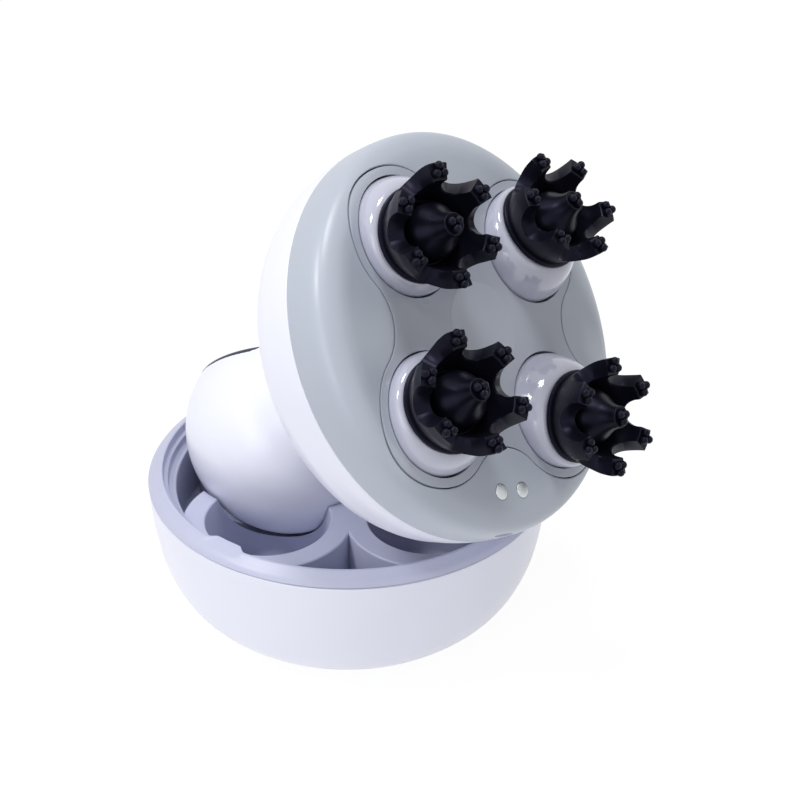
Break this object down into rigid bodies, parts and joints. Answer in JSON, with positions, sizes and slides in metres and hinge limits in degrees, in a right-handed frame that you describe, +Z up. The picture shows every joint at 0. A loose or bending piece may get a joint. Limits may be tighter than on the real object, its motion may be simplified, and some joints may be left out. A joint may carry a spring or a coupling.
{
  "type": "electric scalp massager",
  "caption": "Handheld scalp massager with kneading heads on a round disc and a knob handle, leaning in its bowl-shaped charging dock.",
  "frame": {"origin": "centre of the underside of the dock's anti-slip pad, on the table", "axes": "+Z up; -Y towards the side the dock is seen from; +X to the right, the way the disc leans"},
  "size_m": [0.1411, 0.139, 0.1543],
  "materials": {
    "white_shell": "moulded white, light gloss",
    "grey_shell": "moulded cool grey, satin",
    "grey_panel": "moulded cool grey, light gloss",
    "liner": "moulded lilac grey, satin",
    "lilac_gloss": "moulded lilac grey, high gloss",
    "black_silicone": "moulded black silicone",
    "rubber": "matte elastomer",
    "chrome": "bright plated",
    "steel": "plain machined",
    "bronze": "sintered bearing metal",
    "acetal": "moulded natural acetal",
    "board": "coated circuit board",
    "cell_wrap": "shrink film",
    "inner_black": "moulded black"
  },
  "bodies": {
    "dock": {"dock_outer_shell": "white_shell", "dock_liner": "liner", "dock_base_plate": "grey_shell", "anti_slip_pad": "rubber", "dock_circuit_board": "board", "power_socket": "steel", "dock_screw_1": "steel", "dock_screw_2": "steel", "dock_screw_3": "steel", "charge_pin_1": "chrome", "charge_pin_2": "chrome"},
    "massager": {"back_shell": "white_shell", "face_plate": "grey_shell", "clover_panel": "grey_panel", "centre_cap": "grey_panel", "perimeter_seal": "rubber", "charge_contact_1": "chrome", "charge_contact_2": "chrome", "frame_plate": "inner_black", "gear_plate": "inner_black", "motor_gearhead": "steel", "drive_motor": "steel", "motor_screw_1": "steel", "motor_screw_2": "steel", "housing_screw_1": "steel", "housing_screw_2": "steel", "housing_screw_3": "steel", "housing_screw_4": "steel", "handle_shell": "white_shell", "battery_cell": "cell_wrap", "battery_cradle": "inner_black", "chrome_ring": "chrome", "button_plate": "white_shell", "button_seal": "rubber", "tact_switch": "inner_black", "control_board": "board", "shaft_bush_1": "bronze", "shaft_bush_2": "bronze", "shaft_bush_3": "bronze", "shaft_bush_4": "bronze", "pod_seal_1": "rubber", "pod_seal_2": "rubber", "pod_seal_3": "rubber", "pod_seal_4": "rubber"},
    "power_button": {"power_button": "lilac_gloss", "switch_plunger": "acetal"},
    "drive": {"drive_shaft": "steel", "drive_gear": "acetal"},
    "head_1": {"pod_1": "lilac_gloss", "gear_spindle_1": "acetal"},
    "crown_1": {"crown_1": "black_silicone"},
    "head_2": {"pod_2": "lilac_gloss", "gear_spindle_2": "acetal"},
    "crown_2": {"crown_2": "black_silicone"},
    "head_3": {"pod_3": "lilac_gloss", "gear_spindle_3": "acetal"},
    "crown_3": {"crown_3": "black_silicone"},
    "head_4": {"pod_4": "lilac_gloss", "gear_spindle_4": "acetal"},
    "crown_4": {"crown_4": "black_silicone"}
  },
  "joints": [
    {"name": "massager_lift", "type": "slide", "parent": "dock", "child": "massager", "axis": [0, 0, 1], "range_m": [0, 0.1]},
    {"name": "button_press", "type": "slide", "parent": "massager", "child": "power_button", "axis": [0.0891, -0.7382, -0.6686], "range_m": [0, 0.0006], "stiffness_N_per_m": 900},
    {"name": "head_1_spin", "type": "hinge", "parent": "massager", "child": "head_1", "pos_m": [0.01606, -0.02642, 0.13077], "axis": [0.6767, -0.4974, 0.5429], "continuous": true},
    {"name": "crown_1_pull", "type": "slide", "parent": "head_1", "child": "crown_1", "axis": [0.5553, -0.6708, 0.4916], "range_m": [0, 0.006]},
    {"name": "head_2_spin", "type": "hinge", "parent": "massager", "child": "head_2", "pos_m": [0.04895, 0.00199, 0.11581], "axis": [0.6767, -0.4974, 0.5429], "continuous": true},
    {"name": "crown_2_pull", "type": "slide", "parent": "head_2", "child": "crown_2", "axis": [0.5537, -0.4337, 0.7109], "range_m": [0, 0.006]},
    {"name": "head_3_spin", "type": "hinge", "parent": "massager", "child": "head_3", "pos_m": [0.02405, -0.05439, 0.09519], "axis": [0.6767, -0.4974, 0.5429], "continuous": true},
    {"name": "crown_3_pull", "type": "slide", "parent": "head_3", "child": "crown_3", "axis": [0.5013, -0.5872, 0.6356], "range_m": [0, 0.006]},
    {"name": "head_4_spin", "type": "hinge", "parent": "massager", "child": "head_4", "pos_m": [0.05693, -0.02598, 0.08023], "axis": [0.6767, -0.4974, 0.5429], "continuous": true},
    {"name": "crown_4_pull", "type": "slide", "parent": "head_4", "child": "crown_4", "axis": [0.6859, -0.6275, 0.3685], "range_m": [0, 0.006]},
    {"name": "drive_spin", "type": "hinge", "parent": "massager", "child": "drive", "pos_m": [0.0365, -0.0262, 0.1055], "axis": [0.6767, -0.4974, 0.5429], "continuous": true}
  ],
  "couplings": [
    {"joint": "head_2_spin", "follows": "head_1_spin", "ratio": 1},
    {"joint": "head_3_spin", "follows": "head_1_spin", "ratio": 1},
    {"joint": "head_4_spin", "follows": "head_1_spin", "ratio": 1},
    {"joint": "drive_spin", "follows": "head_1_spin", "ratio": -0.78571}
  ]
}
